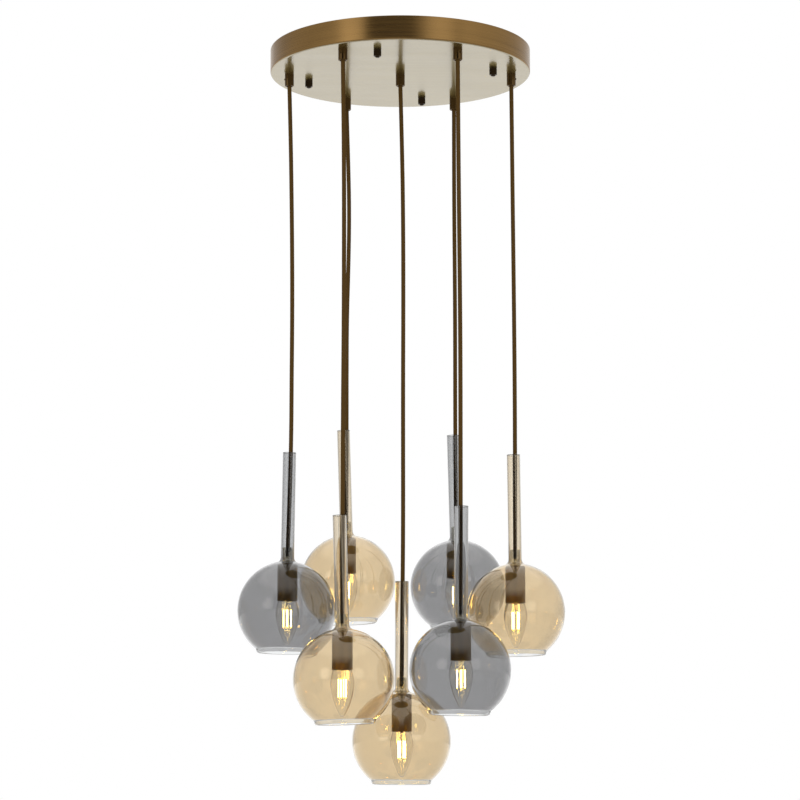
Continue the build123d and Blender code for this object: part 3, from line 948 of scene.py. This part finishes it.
class PENDANT_OT_bulbs(Operator):
    """Make the lit candle bulbs"""

    bl_idname = "pendant.bulbs"
    bl_label = "Candle bulbs"

    # Millimetres: the screw cap's radius, the ends and the pitch of its thread above the cap's
    # foot, and the radius of the circle on which the filament sticks stand
    shell_radius, thread_ends, thread_pitch, stick_circle = 6.75, (4.9, 20.4), 2.82, 5.7

    def execute(self, context):
        """Envelope, screw cap, glass stem, wires and glowing sticks of each bulb."""
        size = context.scene.pendant_bulb
        thin = clear_glass("thin_bulb_glass", (0.985, 0.975, 0.95), 1.5, 0.05)
        nickel = plain_metal("nickel_cap", (0.62, 0.6, 0.56), 0.25)
        glow = glowing_stick("glowing_filament", size.warm_white, size.glow, 28 * MM)
        outer, inner = self.candle(size, 0), self.candle(size, 0.8)
        envelope = np.concatenate([outer[::-1], inner])
        shell, (foot, top) = self.shell_radius, self.thread_ends
        outline = rounded(
            (
                (0, 0), (10.3, 0.05), (7.4, 4.5), (shell, 4.6), (shell, 21), (3.2, 23.7),
                (2.2, 23.7), (2.2, 25.4), (0, 25.4),
            ),
            (0, 0.2, 0.2, 0.2, 0.4, 0.2, 0.2, 0.5, 0), closed=False,
        )
        cap = stepped(outline, shell, foot, top, 60)
        stem = rounded(
            ((0, 0.1), (4.2, 0.1), (1.6, -8), (1.6, -16.5), (1.1, -19), (0, -19)),
            (0, 0.3, 3, 1, 0.5, 0), closed=False,
        )
        stick = rounded(
            ((0, -19), (0.85, -19), (0.85, -47), (0, -47)), (0, 0.6, 0.6, 0), closed=False
        )
        for name, (_, _, turn) in PENDANTS.items():
            joint = above_centre(name, BULB_FOOT)
            corners = [
                joint + self.stick_circle * MM * np.array([np.cos(way), np.sin(way), 0])
                for way in np.radians((turn, turn + 90, turn + 180, turn + 270))
            ]
            thread = turned(cap, joint, 72, self.screw_thread)
            sticks = [turned(stick, place, 20) for place in corners]
            wires = self.wires(joint, corners)
            kinds = (
                ("envelope", [turned(envelope, joint, 96)], thin, "clear_bulb_glass", "bulb_glass"),
                ("cap", [thread], nickel, "lamp_cap", "bulb_base"),
                ("stem", [turned(stem, joint, 32)], thin, "clear_bulb_glass", None),
                ("filaments", sticks, glow, "lamp_filament", None),
                ("wires", wires, nickel, "lamp_cap", None),
            )
            for kind, grids, material, slot, node in kinds:
                skins = [skin(grid, tips=True) for grid in grids]
                replaced = [f"{node}_{name}"] if node else []
                piece(f"bulb_{kind}_{name}", skins, material, slot, f"bulb_{name}", *replaced)
        return {"FINISHED"}

    def candle(self, size, skin_mm):
        """Candle outline from the neck to the tip, drawn in by the skin's thickness."""
        radius, length = size.radius / MM, size.length / MM
        shares = ((0.60, 0), (0.78, 0.085), (1, 0.36), (0.71, 0.71), (0.27, 0.945), (0, 1))
        points = [(radius * wide, -length * down) for wide, down in shares]
        drawn = [(x - skin_mm, y) for x, y in points[:-2]]
        nose = [(points[-2][0] - skin_mm / 2, points[-2][1] + skin_mm / 2), (0, skin_mm - length)]
        return hermite([*drawn, *nose], (3, -6), (-9, 0), 10)

    def screw_thread(self, theta, height):
        """Round thread: -0.3·(1 + sin(2π·height/pitch - θ)) mm, faded out over 2 mm at both ends."""
        wave = 1 + np.sin(TAU * height / (self.thread_pitch * MM) - theta)
        return -0.3 * MM * between(height, *self.thread_ends, 2) * wave

    def wires(self, joint, corners):
        """Four wires out from the stem to the sticks' tops, and two bridges between their feet."""
        routes = [
            (joint, -17, joint + (corner - joint) * 0.6, -15.5, corner, -19.5) for corner in corners
        ]
        for a, b in (corners[:2], corners[2:]):
            routes.append((a, -46.5, (a + b) / 2, -52, b, -46.5))
        return [self.wire(route) for route in routes]

    def wire(self, route):
        """Thin tube along the parabola with three control points: (1-t)²·A + 2t(1-t)·B + t²·C.

        The route gives each control point as a place and its height in millimetres above it.
        """
        a, b, c = (place + (0, 0, height * MM) for place, height in zip(route[::2], route[1::2]))
        t = np.linspace(0, 1, 16)[:, None]
        path = (1 - t) ** 2 * a + 2 * t * (1 - t) * b + t**2 * c
        radius = 0.22 * MM * np.where(np.isin(np.arange(16), (0, 15)), 0, 1)[:, None]
        return tube(path, radius, 8, beside=(0.3, 0.9, 0.2))


class PENDANT_OT_glass_shades(Operator):
    """Make the blown-glass shades"""

    bl_idname = "pendant.glass_shades"
    bl_label = "Glass shades"

    def execute(self, context):
        """Closed profile of neck, blend, globe and lip, turned and then leaned on the holder.

        The colour is whole up to full_colour above the globe's centre, and thins out over fade.
        """
        size = context.scene.pendant_glass
        smoke, amber = (1, 0.97, 0.92), (1, 0.88, 0.68)
        tints = {
            "smoke": clear_glass("smoke_glass", size.smoke, 1.55, 0.25, smoke, coloured=True),
            "amber": clear_glass("amber_glass", size.amber, 1.85, 0.25, amber, coloured=True),
        }
        globe, neck = size.globe_radius / MM, size.neck_radius / MM
        wall, neck_wall = size.globe_wall / MM, size.neck_wall / MM
        blend, segments, full_colour, fade = 8, 144, 75, 20
        outer = self.side(globe, neck, blend)
        inner = self.side(globe - wall, neck - neck_wall, blend + neck_wall)
        mouth = self.mouth(inner[0], outer[0])
        lip = self.lip(outer[-1], inner[-1], globe, wall)
        profile = np.concatenate([outer, lip, inner[::-1], mouth])
        thinned = np.clip((profile[:, 1] / MM - full_colour) / fade, 0, 1)
        colour_depth = 1 - size.neck_paler * thinned
        colour_depth[len(outer) : len(outer) + len(lip)] = 0
        for name, (tint, lean, _) in PENDANTS.items():
            glass = turned(profile, globe_centre(name), segments)
            grid = leaned(glass, above_centre(name, LEAN_POINT), lean)
            piece(
                f"glass_shade_{name}", [skin(grid, ring=True)], tints[tint], f"{tint}_glass",
                f"glass_{name}", f"shade_{name}", colour_depth=np.repeat(colour_depth, segments),
            )
        return {"FINISHED"}

    def side(self, radius, neck, blend):
        """One face of the glass, from the mouth down the neck and the blend to the globe's foot."""
        mouth, foot = 237.8, 57.2
        reach = neck + blend
        rise = np.sqrt((radius + blend) ** 2 - reach**2)
        turn = np.degrees(np.arctan2(rise, reach))
        ends = np.array([[neck, mouth], [neck, mouth - 0.4]]) * MM
        line = np.linspace((neck, mouth - 4), (neck, rise + 1), 14) * MM
        curl = arc_line((reach, rise), blend, 180, 180 + turn, 16)
        ball = arc_line((0, 0), radius, turn, -np.degrees(np.arcsin(foot / radius)), 72)
        return np.concatenate([ends, line, curl, ball[1:]])

    def lip(self, start, end, globe, wall):
        """Clear lip below the globe, steeper than it: its corners are arcs between straight runs."""
        foot, height, draw, thick = 58, 6, 2.2, 2.2
        corner = np.sqrt(globe**2 - foot**2)
        inside = np.sqrt((globe - wall) ** 2 - foot**2)
        edge = corner - draw
        corners = (
            start / MM, (corner, -foot), (edge, -foot - height), (edge - thick, -foot - height),
            (inside, -foot), end / MM,
        )
        return rounded(corners, (0, 0.4, 0.8, 0.8, 0.6, 0), closed=False)[1:-1]

    def mouth(self, start, end):
        """Fire-polished mouth: a half turn from one face to the other about the point between them."""
        middle, arm = (start + end) / 2, (start - end) / 2
        angle = np.linspace(0, np.pi, 9)[1:-1, None]
        side = np.array([arm[1], -arm[0]])
        return middle + arm * np.cos(angle) - side * np.sin(angle)


class PENDANT_OT_stage(Operator):
    """Make the camera, the floor and the light"""

    bl_idname = "pendant.stage"
    bl_label = "Stage"

    def execute(self, context):
        """Camera below the plate looking up, a pale floor, two soft lamps and a white room."""
        settings, scene = context.scene.pendant_stage, context.scene
        lens = bpy.data.cameras.new("camera")
        lens.lens, lens.sensor_width = settings.lens, 36
        scene.camera = placed("camera", lens)
        scene.camera.location = settings.camera_place
        scene.camera.rotation_euler = (radians(90) + settings.camera_pitch, settings.camera_roll, 0)
        scene.view_settings.view_transform = "Standard"
        scene.cycles.max_bounces = 40
        scene.cycles.transmission_bounces = 40
        scene.cycles.glossy_bounces = 8
        self.floor(settings)
        self.room(scene)
        for side in (-1, 1):
            lamp = bpy.data.lights.new("soft_lamp", "AREA")
            lamp.size, lamp.energy = 1.6, 26.0
            holder = placed("soft_lamp", lamp)
            holder.location = (side * 2.4, -2.2, -0.3)
            aim = Vector((0, 0, -0.6)) - holder.location
            holder.rotation_euler = aim.to_track_quat("-Z", "Y").to_euler()
            holder.visible_glossy = holder.visible_transmission = False
        return {"FINISHED"}

    def floor(self, settings):
        """Round pale floor that reaches the horizon. Metal and glass see it lit, more so behind."""
        mesh = bpy.data.meshes.new("floor")
        corners, radius = 96, 40
        theta = round_angles(corners)
        ring = np.stack([np.cos(theta), np.sin(theta), np.zeros(corners)], 1) * radius
        ring += (0, 0, -settings.floor_drop)
        mesh.from_pydata(ring.tolist(), [], [list(range(corners))])
        made = placed("floor", mesh)
        material, tree = new_material("pale_floor")
        cloud = noise(tree, 0.8, 3.0)
        pale = blend_of(tree, cloud, (0.88, 0.88, 0.88), (0.92, 0.92, 0.915))
        shader = add_node(tree, "BsdfPrincipled", {"Base Color": pale, "Roughness": 0.7})
        sockets = {0: object_place(tree)}
        towards = add_node(tree, "VectorMath", sockets, operation="NORMALIZE").outputs[0]
        level = mapped(tree, parts_of(tree, towards)[1], 0.2, 0.85, 0.5, 1.0)
        white = add_node(tree, "Emission", {"Color": (1, 1, 1, 1), "Strength": level})
        seen = add_node(tree, "LightPath").outputs["Is Glossy Ray"]
        sockets = {0: seen, 1: shader.outputs[0], 2: white.outputs[0]}
        either = add_node(tree, "MixShader", sockets).outputs[0]
        add_node(tree, "OutputMaterial", {"Surface": either})
        mesh.materials.append(material)

    def room(self, scene):
        """White room. Metal and glass see its walls by bearing, a pale ceiling and two soft boxes."""
        scene.world = bpy.data.worlds.new("room")
        scene.world.use_nodes = True
        tree = scene.world.node_tree
        tree.nodes.clear()
        way = add_node(tree, "TexCoord").outputs["Generated"]
        x, y, z = parts_of(tree, way)
        bearing = maths(tree, "ARCTAN2", x, maths(tree, "MULTIPLY", y, -1.0))
        walls = self.wall_levels(tree, maths(tree, "MULTIPLY_ADD", bearing, 1 / TAU, 0.5))
        mirrored = maths(tree, "MAXIMUM", walls, mapped(tree, z, 0.5, 0.8, 0.0, 0.95))
        for side, strength in ((-43, 0.85), (35, 0.7)):
            mirrored = maths(tree, "ADD", mirrored, self.soft_box(tree, way, side, strength))
        seen = add_node(tree, "LightPath").outputs
        level = add_node(tree, "Mix", {0: seen["Is Glossy Ray"], 2: 1.0, 3: mirrored})
        scattered = maths(tree, "MULTIPLY_ADD", seen["Is Diffuse Ray"], -0.2, 1.0)
        strength = maths(tree, "MULTIPLY", level.outputs[0], scattered)
        light = add_node(tree, "Background", {"Color": (1, 1, 1, 1), "Strength": strength})
        add_node(tree, "OutputWorld", {"Surface": light.outputs[0]})

    def soft_box(self, tree, way, bearing, strength):
        """Soft round light beside the camera: brightest along its own direction, faded out by 16°."""
        turn, rise = radians(bearing), radians(11)
        towards = (np.sin(turn) * np.cos(rise), -np.cos(turn) * np.cos(rise), np.sin(rise))
        dot = add_node(tree, "VectorMath", {0: way, 1: towards}, operation="DOT_PRODUCT")
        edge, core = 0.961, 0.999
        return mapped(
            tree, dot.outputs["Value"], edge, core, 0.0, strength, interpolation_type="SMOOTHSTEP"
        )

    def wall_levels(self, tree, share):
        """Brightness of the walls by bearing: 0 behind the camera, ±180° behind the object."""
        ramp = add_node(tree, "ValToRGB", {0: share})
        stops = (
            (-172, 1.0), (-162, 0.8), (-148, 0.55), (-125, 0.48), (-85, 0.53), (-62, 0.6),
            (-50, 0.62), (-34, 0.55), (-27, 0.06), (11, 0.08), (22, 0.6), (37, 0.55), (48, 0.6),
            (62, 0.74), (85, 0.66), (120, 0.56), (148, 0.62), (162, 0.8), (172, 1.0),
        )
        points = ramp.color_ramp.elements
        while len(points) < len(stops):
            points.new(1.0)
        for point, (bearing, level) in zip(points, stops):
            point.position = bearing / 360 + 0.5
            point.color = (level, level, level, 1)
        return ramp.outputs[0]


# ---- the add-on --------------------------------------------------------------------------------

STEPS = (
    PENDANT_OT_stage, PENDANT_OT_cords, PENDANT_OT_ceiling_plate, PENDANT_OT_cap_nuts,
    PENDANT_OT_cord_grips, PENDANT_OT_ceiling_hardware, PENDANT_OT_lamp_holders, PENDANT_OT_bulbs,
    PENDANT_OT_glass_shades,
)
SETTINGS = {
    "pendant_plate": PlateSettings,
    "pendant_cord": CordSettings,
    "pendant_head": HeadSettings,
    "pendant_bulb": BulbSettings,
    "pendant_glass": GlassSettings,
    "pendant_stage": StageSettings,
}


class PENDANT_PT_sidebar(Panel):
    """List the steps that build the pendant"""

    bl_idname = "PENDANT_PT_sidebar"
    bl_label = "Cluster Pendant"
    bl_space_type = "VIEW_3D"
    bl_region_type = "UI"
    bl_category = "Cluster Pendant"

    def draw(self, context):
        """One button for each step."""
        for step in STEPS:
            self.layout.operator(step.bl_idname)


def register():
    """Register the classes and hang the settings on the scene."""
    for group in SETTINGS.values():
        bpy.utils.register_class(group)
    for name, group in SETTINGS.items():
        setattr(bpy.types.Scene, name, PointerProperty(type=group))
    for step in (*STEPS, PENDANT_PT_sidebar):
        bpy.utils.register_class(step)


def unregister():
    """Take the classes and the settings away again."""
    for step in (PENDANT_PT_sidebar, *reversed(STEPS)):
        bpy.utils.unregister_class(step)
    for name, group in SETTINGS.items():
        delattr(bpy.types.Scene, name)
        bpy.utils.unregister_class(group)


def main():
    """Build everything in order."""
    register()
    for step in STEPS:
        group, action = step.bl_idname.split(".")
        getattr(getattr(bpy.ops, group), action)()


if __name__ == "__main__":
    main()
